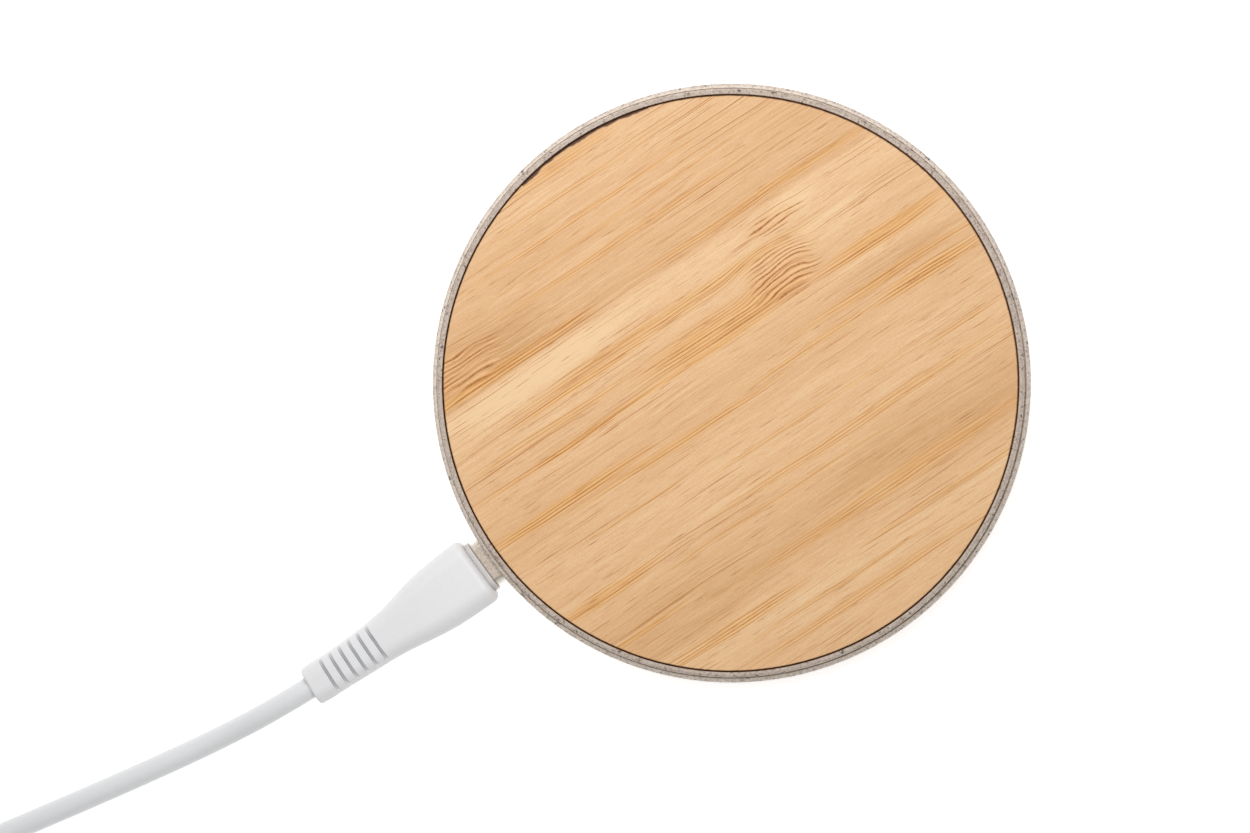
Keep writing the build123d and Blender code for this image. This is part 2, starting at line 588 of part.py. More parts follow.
# ================================================================ put-away coil of cord
COIL_OUTSIDE = OUTER_TURN + CORD_RADIUS
COIL_INSIDE = INNER_TURN - CORD_RADIUS
COIL_SECTION = [
    (COIL_INSIDE, TIE), (COIL_OUTSIDE, TIE), (COIL_OUTSIDE, TIE + 3.4), (TURN_RADIUS + 4.2, COIL_TOP),
    (TURN_RADIUS - 0.4, COIL_TOP), (COIL_INSIDE, TIE + 3.4),
]
with BuildPart() as cord_coil:
    with BuildSketch(Plane(origin=(COIL_X, COIL_Y, 0), x_dir=(1, 0, 0), z_dir=(0, -1, 0))):
        with BuildLine():
            Polyline(*COIL_SECTION, close=True)
        make_face()
    revolve(axis=Axis((COIL_X, COIL_Y, 0), (0, 0, 1)))
finish(cord_coil, "cord_coil")

TIE_ANGLE = math.radians(330)
TIE_WIDTH = 7.0
TIE_PLANE = Plane(
    origin=(COIL_X, COIL_Y, 0), x_dir=(math.cos(TIE_ANGLE), math.sin(TIE_ANGLE), 0),
    z_dir=(math.sin(TIE_ANGLE), -math.cos(TIE_ANGLE), 0),
)
with BuildPart() as coil_tie:
    with BuildSketch(TIE_PLANE):
        with BuildLine():
            Polyline(*COIL_SECTION, close=True)
        make_face()
        offset(amount=TIE, kind=Kind.INTERSECTION)
    extrude(amount=TIE_WIDTH / 2, both=True)
    add(cord_coil.part, mode=Mode.SUBTRACT)
finish(coil_tie, "coil_tie")


def cord_tube(node, route):
    """The plain tube of an uncoiled stretch."""
    radii = corner_radii(route)
    with BuildPart() as tube:
        with BuildLine() as line:
            FilletPolyline(*route, radius=radii)
        with BuildSketch(Plane(origin=line.line @ 0, z_dir=line.line % 0)):
            Circle(CORD_RADIUS)
        sweep(path=line.line)
    length = line.wires()[0].length
    solid = math.pi * CORD_RADIUS ** 2 * length
    print(f"{node}: arc radii {[round(r, 1) for r in radii]}, length {length:.1f}")
    print(f"{node}: volume {tube.part.volume:.1f}, section x length {solid:.1f}")
    finish(tube, node)


cord_tube("cord", CORD_ROUTE)
cord_tube("cord_tail", TAIL_ROUTE)

# ================================================================ USB-A plug
with BuildPart() as usb_a_overmould:
    for ahead, width, height in USB_A_SECTIONS:
        with BuildSketch(across(USB_A_RELIEF_X + ahead, USB_A_Y, USB_A_Z)):
            RectangleRounded(width, height, USB_A_CORNER * height)
    loft()
    extrude(usb_a_overmould.faces().sort_by(Axis.X)[-1], amount=USB_A_STRAIGHT)
    fillet(usb_a_overmould.edges().group_by(Axis.X)[-1], radius=USB_A_FRONT_EDGE)
    for groove in range(USB_A_GROOVES):
        x = USB_A_RELIEF_X + USB_A_GROOVE_START + groove * USB_A_GROOVE_PITCH
        for side in (-1, 1):
            with Locations((x, USB_A_Y, USB_A_Z + side * USB_A_GROOVE_Z)):
                Box(*USB_A_GROOVE_CUT, mode=Mode.SUBTRACT)
    with BuildSketch(across(USB_A_FRONT_X - USB_A_EMBEDDED, USB_A_Y, USB_A_Z)):
        Rectangle(USB_A_WIDTH, USB_A_HEIGHT)
    extrude(amount=USB_A_EMBEDDED + 1, mode=Mode.SUBTRACT)
finish(usb_a_overmould, "usb_a_overmould")

with BuildPart() as usb_a_shell:
    with BuildSketch(across(USB_A_FRONT_X - USB_A_EMBEDDED, USB_A_Y, USB_A_Z)):
        Rectangle(USB_A_WIDTH, USB_A_HEIGHT)
        Rectangle(USB_A_WIDTH - 2 * USB_A_WALL, USB_A_HEIGHT - 2 * USB_A_WALL, mode=Mode.SUBTRACT)
    extrude(amount=USB_A_EMBEDDED + USB_A_LENGTH)
    # latch windows through the upper and lower walls
    with BuildSketch(Plane.XY.offset(USB_A_Z - USB_A_HEIGHT)):
        with Locations((USB_A_FRONT_X + LATCH_AHEAD, USB_A_Y)):
            with GridLocations(1, LATCH_SPACING, 1, 2):
                Rectangle(*LATCH_SIZE)
    extrude(amount=2 * USB_A_HEIGHT, mode=Mode.SUBTRACT)
finish(usb_a_shell, "usb_a_shell")

with BuildPart() as usb_a_tongue:
    inner_half = USB_A_HEIGHT / 2 - USB_A_WALL
    with BuildSketch(across(USB_A_FRONT_X - USB_A_EMBEDDED, USB_A_Y, USB_A_Z)):
        Rectangle(USB_A_WIDTH - 2 * USB_A_WALL, 2 * inner_half)
    extrude(amount=USB_A_EMBEDDED)
    with BuildSketch(across(USB_A_FRONT_X, USB_A_Y, USB_A_Z + inner_half / 2)):
        Rectangle(USB_A_WIDTH - 2 * USB_A_WALL, inner_half)
    extrude(amount=USB_A_LENGTH - USB_A_TONGUE_SET_BACK)
finish(usb_a_tongue, "usb_a_tongue")

with BuildPart() as usb_a_contacts:
    with Locations((USB_A_FRONT_X + USB_A_PAD_CENTRE, USB_A_Y, USB_A_Z - USB_A_PAD_SIZE[2] / 2)):
        with GridLocations(1, USB_A_PAD_PITCH, 1, 4):
            Box(*USB_A_PAD_SIZE)
finish(usb_a_contacts, "usb_a_contacts")
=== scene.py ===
"""Looks of a round bamboo-topped wireless charging pad with its white USB cable.

Metres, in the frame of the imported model: the pad stands on Z = 0 and its port faces -X.
The materials work in millimetres, which Shader.place gives them.
"""
import json
import math

import bpy
from mathutils import Matrix, Vector


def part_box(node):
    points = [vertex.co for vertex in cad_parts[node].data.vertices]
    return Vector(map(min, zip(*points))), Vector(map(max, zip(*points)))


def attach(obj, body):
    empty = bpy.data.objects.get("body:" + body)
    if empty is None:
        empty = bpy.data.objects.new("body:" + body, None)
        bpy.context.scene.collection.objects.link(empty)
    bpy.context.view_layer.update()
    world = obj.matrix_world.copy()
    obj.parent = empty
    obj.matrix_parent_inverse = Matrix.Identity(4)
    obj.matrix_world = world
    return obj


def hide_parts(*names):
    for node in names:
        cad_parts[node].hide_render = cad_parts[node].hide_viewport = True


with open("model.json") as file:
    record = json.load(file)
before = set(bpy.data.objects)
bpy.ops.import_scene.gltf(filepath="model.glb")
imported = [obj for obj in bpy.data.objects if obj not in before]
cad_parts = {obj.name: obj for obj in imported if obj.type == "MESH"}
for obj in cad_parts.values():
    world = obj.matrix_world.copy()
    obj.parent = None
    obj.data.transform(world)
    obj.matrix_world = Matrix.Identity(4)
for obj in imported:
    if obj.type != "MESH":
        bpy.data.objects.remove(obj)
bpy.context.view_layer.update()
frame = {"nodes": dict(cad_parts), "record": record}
nodes = frame["nodes"]
MM = 0.001

# ---------------------------------------------------------------- camera
VIEW_DISTANCE = 0.70
VIEW_WIDTH = 0.2087                         # width of the view at the pad's widest ring
VIEW_TILT = math.radians(3.5)               # off the vertical, towards the right of the view
VIEW_ROLL = math.radians(-36.29)            # direction in the frame that points right in the view
PAD_RIGHT_OF_MIDDLE = 17.6 * MM
PAD_ABOVE_MIDDLE = 5.55 * MM
WIDEST_BELOW_TOP = 3.0 * MM
WIDEST_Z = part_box("bamboo_inlay")[1][2] - WIDEST_BELOW_TOP
SENSOR_WIDTH = 36

# ---------------------------------------------------------------- cord
CORD_DIAMETER = 3.8 * MM
CORD_RADIUS = CORD_DIAMETER / 2
CORD_ROUTE = [
    (-0.08754, 0.00076, 0.00503), (-0.0945, 0.0013, 0.00503), (-0.1055, 0.00295, 0.0019),
    (-0.1180, 0.00545, 0.0019), (-0.1340, 0.0090, 0.0019), (-0.1500, 0.01275, 0.0019),
    (-0.1630, 0.0156, 0.0020), (-0.1713, 0.01745, 0.0023),
]
TAIL_ROUTE = [
    (-0.1985, -0.0007, 0.0090), (-0.2047, -0.0176, 0.0092), (-0.1994, -0.0348, 0.0062),
    (-0.1850, -0.0460, 0.00385), (-0.1700, -0.0460, 0.00385),
]
ENTRY_ANGLE = 77.4                          # direction of the coil's first point from its middle
TIE_THICKNESS = 0.4 * MM
TURN_RADIUS = 5.5 * CORD_DIAMETER           # middle of the turns
LAYER_RISE = 3.35 * MM
POINT_STEP = 15                             # degrees between the points of a turn
# degrees round from the first point, diameters outside the middle of the turns, layer
COIL_STOPS = [
    (0, 1.5, 0), (1080, -1.5, 0), (1140, -1.0, 1), (1860, 1.0, 1), (1920, 0.5, 2), (2235, 0.5, 2),
]
CURVE_STEPS = 6                             # between two points, and in a quarter of the round section


def place_camera():
    """Camera above the pad, a little to its right, rolled so that the cable leaves to the lower left."""
    pad = Vector((0, 0, WIDEST_Z))
    right = Vector((math.cos(VIEW_ROLL), math.sin(VIEW_ROLL), 0))
    up = Vector((-right.y, right.x, 0))
    towards = right * math.sin(VIEW_TILT) + Vector((0, 0, math.cos(VIEW_TILT)))
    eye = pad + towards * VIEW_DISTANCE
    forward = (pad - right * PAD_RIGHT_OF_MIDDLE - up * PAD_ABOVE_MIDDLE - eye).normalized()
    right = (right - forward * right.dot(forward)).normalized()
    up = right.cross(forward)
    camera = bpy.data.objects.new("camera", bpy.data.cameras.new("camera"))
    bpy.context.scene.collection.objects.link(camera)
    camera.matrix_world = Matrix.Translation(eye) @ Matrix((right, up, -forward)).transposed().to_4x4()
    camera.data.sensor_width = SENSOR_WIDTH
    camera.data.lens = SENSOR_WIDTH * VIEW_DISTANCE / VIEW_WIDTH
    bpy.context.scene.camera = camera


def between_stops(turned):
    """Radius and height of the coil's line after this many degrees, straight between the stops."""
    for (start, first, low), (end, last, high) in zip(COIL_STOPS, COIL_STOPS[1:]):
        if turned <= end:
            part = (turned - start) / (end - start)
            radius = TURN_RADIUS + (first + part * (last - first)) * CORD_DIAMETER
            return radius, TIE_THICKNESS + CORD_RADIUS + (low + part * (high - low)) * LAYER_RISE


def coil_points():
    """The turns of the put-away cord: three rounds inwards, two outwards on those, one on top."""
    entry_radius, _ = between_stops(0)
    entry = math.radians(ENTRY_ANGLE)
    middle_x = CORD_ROUTE[-1][0] - entry_radius * math.cos(entry)
    middle_y = CORD_ROUTE[-1][1] - entry_radius * math.sin(entry)
    points = []
    for turned in range(POINT_STEP, COIL_STOPS[-1][0] + 1, POINT_STEP):
        radius, height = between_stops(turned)
        angle = math.radians(ENTRY_ANGLE + turned)
        points.append((middle_x + radius * math.cos(angle), middle_y + radius * math.sin(angle), height))
    return points


def make_cord():
    """One smooth spline from the strain relief through the coil to the far plug."""
    route = CORD_ROUTE + coil_points() + TAIL_ROUTE
    curve = bpy.data.curves.new("cable_cord", "CURVE")
    curve.dimensions = "3D"
    curve.resolution_u = CURVE_STEPS
    curve.bevel_depth = 1.0                 # times each point's radius, which the curve's box includes
    curve.bevel_resolution = CURVE_STEPS
    curve.use_fill_caps = True
    spline = curve.splines.new("NURBS")
    spline.points.add(len(route) - 1)
    for point, place in zip(spline.points, route):
        point.co = (*place, 1.0)
        point.radius = CORD_RADIUS
    spline.order_u = 3
    spline.use_endpoint_u = True
    cord = bpy.data.objects.new("cable_cord", curve)
    bpy.context.scene.collection.objects.link(cord)
    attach(cord, "cable")
    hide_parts("cord", "cord_coil", "cord_tail")
    return cord


place_camera()
cord = make_cord()


# ---------------------------------------------------------------- shading tools
MIX_COLOUR_SOCKETS = (0, 6, 7)              # a Mix node's factor and its two colours
MIX_COLOUR_RESULT = 2
NOISE_MIDDLE = (0.3, 0.7)                   # most values of a noise lie between these
PATCH_EDGE = (0.4, 1.2)                     # where a patch begins to fade and ends, in half lengths
FINE_RELIEF_STRENGTH = 0.5


def srgb(red, green, blue):
    """A colour given by its display values, 0 to 255, as linear light with alpha 1."""
    def linear(value):
        part = value / 255
        return part / 12.92 if part <= 0.04045 else ((part + 0.055) / 1.055) ** 2.4
    return (linear(red), linear(green), linear(blue), 1.0)


class Shader:
    """One material's node tree, with short calls for the nodes used here."""

    def __init__(self, name, roughness, metallic=0.0):
        self.material = bpy.data.materials.new(name)
        self.material.use_nodes = True
        self.tree = self.material.node_tree
        self.surface = self.tree.nodes["Principled BSDF"]
        self.surface.inputs["Roughness"].default_value = roughness
        self.surface.inputs["Metallic"].default_value = metallic

    def node(self, kind, inputs=(), **settings):
        """A node with these inputs, each a value or another node's output."""
        made = self.tree.nodes.new(kind)
        for key, value in settings.items():
            setattr(made, key, value)
        for key, value in dict(inputs).items():
            self.feed(made.inputs[key], value)
        return made

    def feed(self, socket, value):
        """Links another node's output to the socket, or sets the socket to a plain value."""
        if isinstance(value, bpy.types.NodeSocket):
            self.tree.links.new(value, socket)
        else:
            socket.default_value = value

    def vector(self, operation, first, second=(0, 0, 0)):
        made = self.node("ShaderNodeVectorMath", {0: first, 1: second}, operation=operation)
        return made.outputs["Value" if operation == "LENGTH" else "Vector"]

    def math(self, operation, first, second=0.0):
        return self.node("ShaderNodeMath", {0: first, 1: second}, operation=operation).outputs[0]

    def times(self, first, second):
        return self.math("MULTIPLY", first, second)

    def plus(self, first, second):
        return self.math("ADD", first, second)

    def place(self):
        """Position in the frame, in millimetres."""
        where = self.node("ShaderNodeTexCoord").outputs["Object"]
        return self.vector("DIVIDE", where, (MM, MM, MM))

    def flat(self, where):
        """The position without its height."""
        return self.vector("MULTIPLY", where, (1, 1, 0))

    def split(self, where):
        """The position's X, Y and Z."""
        return self.node("ShaderNodeSeparateXYZ", {"Vector": where}).outputs

    def shifted(self, where, across):
        """The position moved along its Y, which is across the grain."""
        return self.vector("ADD", where, self.node("ShaderNodeCombineXYZ", {"Y": across}).outputs["Vector"])

    def noise(self, where, scale, detail, roughness):
        made = self.node("ShaderNodeTexNoise", {
            "Vector": where, "Scale": scale, "Detail": detail, "Roughness": roughness,
        })
        return made.outputs["Fac"]

    def grain(self, where, scales, detail, roughness):
        """Noise in the plane with one scale along the grain and another across it."""
        return self.noise(self.vector("MULTIPLY", where, (*scales, 0)), 1.0, detail, roughness)

    def fit(self, value, low, high, to_low=0.0, to_high=1.0):
        """Maps low..high to to_low..to_high, smoothly and clamped."""
        made = self.node("ShaderNodeMapRange", {
            "Value": value, "From Min": low, "From Max": high, "To Min": to_low, "To Max": to_high,
        }, interpolation_type="SMOOTHSTEP")
        return made.outputs["Result"]

    def around(self, value, spread):
        """A noise value centred on 0 and widened."""
        return self.times(self.math("SUBTRACT", value, 0.5), spread)

    def ramp(self, value, stops):
        """A colour for the value, between the colours of the stops."""
        made = self.node("ShaderNodeValToRGB", {"Fac": value})
        elements = made.color_ramp.elements
        while len(elements) < len(stops):
            elements.new(0.5)
        for element, (position, colour) in zip(elements, stops):
            element.position = position
            element.color = colour
        return made.outputs["Color"]

    def mix(self, amount, first, second):
        """The first colour where the amount is 0, the second where it is 1."""
        made = self.node("ShaderNodeMix", data_type="RGBA")
        for socket, value in zip(MIX_COLOUR_SOCKETS, (amount, first, second)):
            self.feed(made.inputs[socket], value)
        return made.outputs[MIX_COLOUR_RESULT]

    def patch(self, where, centre, half, strength):
        """A soft-edged ellipse in the plane: strength inside, 0 outside."""
        off = self.vector("DIVIDE", self.vector("SUBTRACT", where, (*centre, 0)), (*half, 1))
        away = self.vector("LENGTH", self.flat(off))
        return self.fit(away, *PATCH_EDGE, strength, 0.0)

    def colour(self, value):
        self.feed(self.surface.inputs["Base Color"], value)

    def bump(self, height, distance, strength):
        made = self.node("ShaderNodeBump", {"Height": height, "Distance": distance, "Strength": strength})
        self.feed(self.surface.inputs["Normal"], made.outputs["Normal"])


# ---------------------------------------------------------------- bamboo
GRAIN_TURN = math.radians(2.79)             # the grain runs this far clockwise of X
BAMBOO_HALF = 48.0                          # half of the width that the tones of the strips cover
INLAY_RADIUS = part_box("bamboo_inlay")[1][0] / MM

# tone of the strips across the grain: mm from the middle, tone from 0, dark, to 1, pale
STRIP_TONES = [
    (-48, 0.62), (-42, 0.62), (-36, 0.76), (-31.5, 0.54), (-28.5, 0.34), (-23.5, 0.46), (-18, 0.62),
    (-10, 0.68), (-3, 0.52), (1.5, 0.52), (5, 0.70), (7, 0.54), (11, 0.66), (15.5, 0.72), (21.2, 0.76),
    (22.0, 0.34), (26, 0.46), (32, 0.48), (40, 0.58), (48, 0.64),
]
# paler and darker patches, mm along and across the grain: centre, half lengths, change of tone
PATCHES = [
    ((-33, 26.0), (15, 5.5), -0.40), ((-26, 19.0), (24, 3.0), 0.28), ((34, 1.5), (14, 2.6), -0.25),
    ((-30, -31.5), (14, 2.4), -0.22), ((25, 19.2), (5, 1.8), 0.30), ((-30, 6.0), (16, 2.5), -0.10),
    ((24, -24), (22, 5.0), -0.15), ((30, 13.5), (12, 2.0), 0.18),
]
# bands of orange-brown streaks: centre, half lengths, strength
STREAKS = [
    ((-4, 37.0), (28, 0.6), 0.6), ((-5, 46.0), (15, 1.2), 0.6), ((-6, 41.6), (20, 0.5), 0.4),
    ((-2, 30.0), (30, 0.8), 0.5), ((-30, 23.0), (20, 1.1), 1.0), ((22, 23.2), (26, 0.9), 0.8),
    ((2, 33.6), (30, 0.5), 0.4), ((-3, 15.0), (32, 1.5), 0.75), ((-20, 13.6), (16, 0.8), 0.9),
    ((4, 8.4), (18, 3.2), 0.9), ((-14, 6.2), (36, 0.7), 1.0), ((35, 6.7), (14, 1.7), 1.0),
    ((-28, 10.2), (18, 0.9), 0.6), ((32, 0.4), (20, 0.9), 0.7), ((38, -2.4), (12, 1.4), 1.0),
    ((-34, -1.7), (18, 1.3), 0.95), ((-12, -3.6), (22, 0.9), 0.7), ((16, -2.2), (16, 0.6), 0.6),
    ((-36, -18.0), (12, 1.3), 0.95), ((16, -17.2), (32, 1.1), 0.55), ((38, -13.0), (8, 0.6), 0.5),
    ((-6, -20.5), (30, 0.6), 0.35), ((14, -28.6), (32, 1.6), 0.6), ((-22, -34.3), (16, 1.2), 0.8),
    ((20, -34.6), (18, 0.7), 0.6), ((0, -41.4), (26, 1.0), 0.5), ((-34, -26.4), (10, 0.6), 0.7),
    ((8, -11.5), (26, 0.5), 0.45), ((-22, -9.0), (14, 0.5), 0.45), ((0, -38.0), (24, 0.5), 0.5),
]
# marks where the stem had its nodes: centre, half lengths, how far the fibres rise over them, strength
STEM_NODES = [
    ((17.6, 10.8), (7.8, 5.2), 1.1, 1.0),
    ((21.0, 18.4), (6.0, 1.9), 0.3, 0.8),
    ((-36.5, 26.4), (10, 4.6), 0.8, 0.75),
]
CROWN_ALONG = -0.8                          # the rise is highest this far from a mark's centre
CROWN_ACROSS = 1.2

# noise in the grain: scale along and across it per mm, detail, roughness
WANDER = ((0.03, 0.12), 2, 0.5)
SWIRL = ((0.12, 0.30), 2, 0.5)
FIBRES = ((0.05, 2.4), 3, 0.6)
FINE_FIBRES = ((0.35, 3.2), 2, 0.6)
CLOUDS = ((0.04, 0.5), 3, 0.6)
SPECKLES = ((2.4, 2.4), 2, 0.6)
BREAKS = ((0.035, 0.9), 2, 0.5)
FRAYED_ENDS = ((0.16, 1.5), 3, 0.6)
PALE_FIBRES = ((0.05, 3.0), 1, 0.5)
# how these values are mapped: from low and high, to low and high
SPECKLES_FIT = (0.30, 0.62, 0.55, 1.0)
BREAKS_FIT = (0.38, 0.62, 0.3, 1.0)
FRAYED_FIT = (0.15, 1.0, 0.0, 1.0)
PALE_FIT = (0.30, 0.42, 0.4, 0.0)
# how far a noise moves the fibres, in mm, or a mask's edge
WANDER_SPREAD = 1.6
SWIRL_SPREAD = 1.7
FRAYED_SPREAD = 3.4
# how far the fibres, fine fibres, clouds and speckles change the tone
TONE_SPREADS = (0.42, 0.5, 0.6, 0.55)
# long lines, shorter ones and dashes: noise as above, strength
THIN_LINES = [
    (((0.018, 3.4), 2, 0.55), 0.85), (((0.04, 4.6), 2, 0.55), 0.85), (((0.11, 5.4), 2, 0.55), 0.8),
]
THIN_LINE_FROM = 0.65                       # noise at which a line begins
THIN_LINE_FULL = 0.70                       # and at which it is full
MORE_LINES_IN_BANDS = 0.03                  # added to that noise in the bands of streaks
BAMBOO_TONES = [(0.0, srgb(208, 158, 104)), (0.58, srgb(228, 182, 133)), (1.0, srgb(241, 204, 157))]
THIN_LINE_BROWN = srgb(182, 110, 34)
PALE_FIBRE = srgb(244, 208, 163)

# lines that lie side by side: mm apart, colour of the lines and of the fibres between them
WAVE_TURN = math.pi / 10                    # a wave texture of scale 1 repeats after this length
WAVE_STRETCH = (0.12, 1.0, 0.0)             # the waves' waviness is this much slower along the grain
GAP_FIT = (0.05, 0.45, 0.6, 0.0)
LINE_FIT = (0.58, 0.95, 0.0, 1.0)
BAND_LINES = (0.52, srgb(166, 96, 14), srgb(252, 202, 142))
NODE_LINES = (0.72, srgb(162, 92, 12), srgb(254, 204, 148))
# tints under those lines: amount, colour
BAND_TINT = (0.6, srgb(231, 170, 86))
NODE_TINT = (0.4, srgb(224, 164, 96))

# a chipped stretch of the edge, where the painted shade reaches further in
CHIPPED_FROM = math.radians(70)
CHIPPED_TO = math.radians(100)
CHIPS = (0.25, 2, 0.5)                      # noise: scale per mm, detail, roughness
CHIPS_FIT = (0.35, 0.65, 0.14, 0.44)        # to depths in mm
RAGGED = (0.9, 3, 0.6)
RAGGED_SPREAD = 0.24
EDGE_DARK_INSIDE = 0.24                        # the dark ring, partly scorch and partly painted shade, begins this far inside the edge
EDGE_DARK_OUTSIDE = 0.06                       # and would be full this far outside it
# partly the scorch's own colour, partly painted shade of the gap and chips
SCORCH_AND_SHADE_BROWN = srgb(84, 48, 28)
BAMBOO_RELIEF = 0.02 * MM
BAMBOO_RELIEF_STRENGTH = 0.5
BAMBOO_SHEEN = 0.35


def bent_grain(s, where):
    """Positions for the strips and for the fibres, and the mask of the stem's nodes.

    Both wander a little everywhere, and the fibres also swirl and rise at the nodes.
    """
    knot = 0.0
    rise = 0.0
    for (middle_along, middle_across), half, arch, strength in STEM_NODES:
        crown = (middle_along + CROWN_ALONG, middle_across + CROWN_ACROSS)
        knot = s.math("MAXIMUM", knot, s.patch(where, (middle_along, middle_across), half, strength))
        rise = s.math("MAXIMUM", rise, s.patch(where, crown, half, arch))
    wander = s.around(s.grain(where, *WANDER), WANDER_SPREAD)
    swirl = s.around(s.grain(where, *SWIRL), SWIRL_SPREAD)
    bulge = s.math("SUBTRACT", s.times(knot, swirl), rise)
    return s.shifted(where, wander), s.shifted(where, s.plus(wander, bulge)), knot


def strip_tone(s, where, strips):
    """Tone of the pressed strips, paler and darker by patches."""
    position = s.math("DIVIDE", s.plus(s.split(strips)["Y"], BAMBOO_HALF), 2 * BAMBOO_HALF)
    tone = s.ramp(position, [
        ((across + BAMBOO_HALF) / (2 * BAMBOO_HALF), (value, value, value, 1))
        for across, value in STRIP_TONES
    ])
    for centre, half, change in PATCHES:
        tone = s.plus(tone, s.patch(where, centre, half, change))
    return tone


def lined(s, surface, amount, along, look):
    """Thin dark lines side by side, with paler fibres between them."""
    pitch, line_colour, gap_colour = look
    waves = s.node("ShaderNodeTexWave", {
        "Vector": s.vector("MULTIPLY", along, WAVE_STRETCH), "Scale": WAVE_TURN / pitch,
        "Distortion": 1.6, "Detail": 2.0, "Detail Scale": 0.8,
    }, wave_type="BANDS", bands_direction="Y").outputs["Fac"]
    surface = s.mix(s.times(amount, s.fit(waves, *GAP_FIT)), surface, gap_colour)
    return s.mix(s.times(amount, s.fit(waves, *LINE_FIT)), surface, line_colour)


def frayed(s, along, mask):
    """A soft mask broken up across the grain, so that each fibre starts and ends at its own place."""
    ends = s.around(s.grain(along, *FRAYED_ENDS), FRAYED_SPREAD)
    return s.fit(s.plus(mask, ends), *FRAYED_FIT)


def streaked(s, surface, band, along, grainy):
    """Streaks: an orange tint, crossed by many thin darker lines that come and go."""
    tint, orange = BAND_TINT
    surface = s.mix(s.times(band, tint), surface, orange)
    broken = s.fit(s.grain(along, *BREAKS), *BREAKS_FIT)
    return lined(s, surface, s.times(s.times(band, broken), grainy), along, BAND_LINES)


def noded(s, surface, knot, along, grainy):
    """Stem nodes: a brown tint and coarser lines with frayed ends."""
    tint, brown = NODE_TINT
    surface = s.mix(s.times(knot, tint), surface, brown)
    return lined(s, surface, s.times(frayed(s, along, knot), grainy), along, NODE_LINES)


def thin_lined(s, surface, band, along):
    """Single dark lines, a few more of them in the streaks, and pale fibres."""
    for noise, strength in THIN_LINES:
        lines = s.plus(s.grain(along, *noise), s.times(band, MORE_LINES_IN_BANDS))
        amount = s.fit(lines, THIN_LINE_FROM, THIN_LINE_FULL, 0.0, strength)
        surface = s.mix(amount, surface, THIN_LINE_BROWN)
    pale = s.fit(s.grain(along, *PALE_FIBRES), *PALE_FIT)
    return s.mix(pale, surface, PALE_FIBRE)


def scorched_and_shaded_edge(s, surface):
    """The sawn edge, dark brown: partly its own scorch, partly painted shade of the gap round it; wider
    along one chipped stretch, with painted shade of the chips.
    """
    flat = s.flat(s.place())
    split = s.split(flat)
    bearing = s.math("ARCTAN2", split["Y"], split["X"])
    after_start = s.math("GREATER_THAN", bearing, CHIPPED_FROM)
    before_end = s.math("LESS_THAN", bearing, CHIPPED_TO)
    # painted shade of the chips: the dark ring reaches further in along this stretch
    depth = s.fit(s.noise(flat, *CHIPS), *CHIPS_FIT)
    chips = s.times(s.times(after_start, before_end), depth)
    ragged = s.around(s.noise(flat, *RAGGED), RAGGED_SPREAD)
    rim = s.plus(s.vector("LENGTH", flat), s.plus(chips, ragged))
    # dark ring at the edge: partly scorch, partly painted shade of the gap
    scorch_and_shade = s.fit(rim, INLAY_RADIUS - EDGE_DARK_INSIDE, INLAY_RADIUS + EDGE_DARK_OUTSIDE)
    return s.mix(scorch_and_shade, surface, SCORCH_AND_SHADE_BROWN)


def bamboo():
    """Pressed bamboo strips: pale tan, long fibres, orange-brown streaks and marks of stem nodes."""
    s = Shader("bamboo", roughness=0.5)
    turned = s.node("ShaderNodeMapping", {"Vector": s.place(), "Rotation": (0, 0, GRAIN_TURN)})
    where = turned.outputs["Vector"]
    strips, along, knot = bent_grain(s, where)
    fibre = s.grain(along, *FIBRES)
    fine = s.grain(along, *FINE_FIBRES)
    cloud = s.grain(along, *CLOUDS)
    speckle = s.grain(where, *SPECKLES)
    tone = strip_tone(s, where, strips)
    for noise, spread in zip((fibre, fine, cloud, speckle), TONE_SPREADS):
        tone = s.plus(tone, s.around(noise, spread))
    surface = s.ramp(tone, BAMBOO_TONES)

    band = 0.0
    for centre, half, strength in STREAKS:
        band = s.math("MAXIMUM", band, s.patch(strips, centre, half, strength))
    grainy = s.fit(speckle, *SPECKLES_FIT)
    surface = streaked(s, surface, band, along, grainy)
    surface = noded(s, surface, knot, along, grainy)
    surface = thin_lined(s, surface, band, along)
    # dark edge of the bamboo: partly scorch, partly painted shade
    s.colour(scorched_and_shaded_edge(s, surface))
    s.bump(s.plus(fibre, fine), BAMBOO_RELIEF, BAMBOO_RELIEF_STRENGTH)
    s.surface.inputs["Specular IOR Level"].default_value = BAMBOO_SHEEN
    return s.material


# ---------------------------------------------------------------- straw composite
RING_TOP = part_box("top_shell")[1][2] / MM
RING_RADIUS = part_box("top_shell")[1][0] / MM
WALL_PAST_INLAY = 0.23                      # just past the wall of the recess that the bamboo lies in
FLOOR_BELOW_FILM = 0.1                      # just below its floor
RECESS_RADIUS = INLAY_RADIUS + WALL_PAST_INLAY
RECESS_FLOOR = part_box("inlay_adhesive")[0][2] / MM - FLOOR_BELOW_FILM
# noise in the composite: scale per mm, detail, roughness
STRAW_CLOUDS = (0.55, 4, 0.6)
MOTTLE = (2.2, 3, 0.7)
PORES = (7.0, 2, 0.5)
STRAW_TONES = [
    (0.15, srgb(186, 168, 154)), (0.45, srgb(216, 199, 184)), (0.60, srgb(224, 209, 194)),
    (0.90, srgb(236, 224, 210)),
]
MIDDLE_TONE = 0.5
CLOUD_SPREAD = 0.8                          # how far the clouds, and then the mottle, change the tone
MOTTLE_SPREAD = 1.6
PORE_SPREAD = 0.6
STRAW_RELIEF = 0.03 * MM
STRAW_RELIEF_STRENGTH = 0.8
FLECK_DETAIL = 2
FLECK_ROUGHNESS = 0.5
FLECK_STEP = (7, 3, 0)                      # times its scale, where each kind of fleck takes its noise
